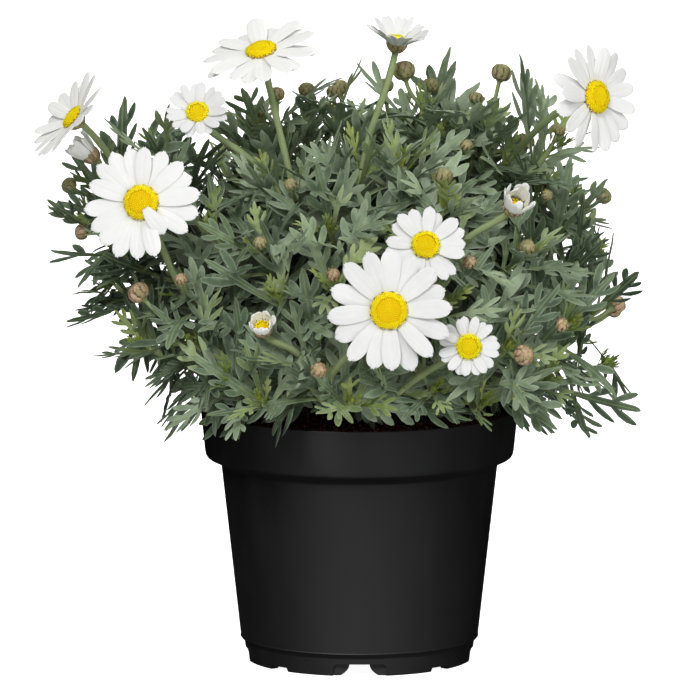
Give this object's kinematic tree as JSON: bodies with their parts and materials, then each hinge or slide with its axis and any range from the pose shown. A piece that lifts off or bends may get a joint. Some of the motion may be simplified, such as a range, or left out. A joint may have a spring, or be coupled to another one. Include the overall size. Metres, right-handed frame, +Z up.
{
  "type": "potted marguerite daisy",
  "caption": "Bushy marguerite daisy with white yellow-centred blooms, closed buds and cut blue-green leaves, growing in soil in a black plastic nursery pot.",
  "frame": {"origin": "middle of the bounding box at its base: the surface that the pot's foot ring stands on", "axes": "+Z up along the pot's axis; the plant's front, with its largest open blooms, faces -Y; +X to the right seen from the front"},
  "size_m": [0.2892, 0.255, 0.304],
  "materials": {
    "pot_plastic": "moulded black plastic with a soft sheen and fine scuffs",
    "soil": "moist red-brown peat crumb",
    "wood": "young woody stem, brown-green",
    "leaf": "glaucous blue-green leaf, waxy and matt, on yellow-green stems",
    "stalk": "light yellow-green stalk with a green and brown cup of bracts",
    "petal": "white petal with faint grooves along it, silky",
    "disc": "golden yellow disc of tiny florets"
  },
  "bodies": {
    "root": {"pot": "pot_plastic", "soil": "soil", "crown": "wood", "branch_01": "leaf", "branch_02": "leaf", "branch_03": "leaf", "branch_04": "leaf", "branch_05": "leaf", "branch_06": "leaf", "branch_07": "leaf", "branch_08": "leaf", "branch_09": "leaf", "branch_10": "leaf", "branch_11": "leaf", "branch_12": "leaf", "branch_13": "leaf", "branch_14": "leaf", "branch_15": "leaf", "branch_16": "leaf", "branch_17": "leaf", "branch_18": "leaf", "branch_19": "leaf", "branch_20": "leaf", "branch_21": "leaf", "branch_22": "leaf", "bloom_01_stalk": "stalk", "bloom_01_petals": "petal", "bloom_01_disc": "disc", "bloom_02_stalk": "stalk", "bloom_02_petals": "petal", "bloom_02_disc": "disc", "bloom_03_stalk": "stalk", "bloom_03_petals": "petal", "bloom_03_disc": "disc", "bloom_04_stalk": "stalk", "bloom_04_petals": "petal", "bloom_04_disc": "disc", "bloom_05_stalk": "stalk", "bloom_05_petals": "petal", "bloom_05_disc": "disc", "bloom_06_stalk": "stalk", "bloom_06_petals": "petal", "bloom_06_disc": "disc", "bloom_07_stalk": "stalk", "bloom_07_petals": "petal", "bloom_07_disc": "disc", "bloom_08_stalk": "stalk", "bloom_08_petals": "petal", "bloom_08_disc": "disc", "bloom_09_stalk": "stalk", "bloom_09_petals": "petal", "bloom_09_disc": "disc", "opening_01_stalk": "stalk", "opening_01_petals": "petal", "opening_01_disc": "disc", "opening_02_stalk": "stalk", "opening_02_petals": "petal", "opening_03_stalk": "stalk", "opening_03_petals": "petal"}
  },
  "joints": []
}
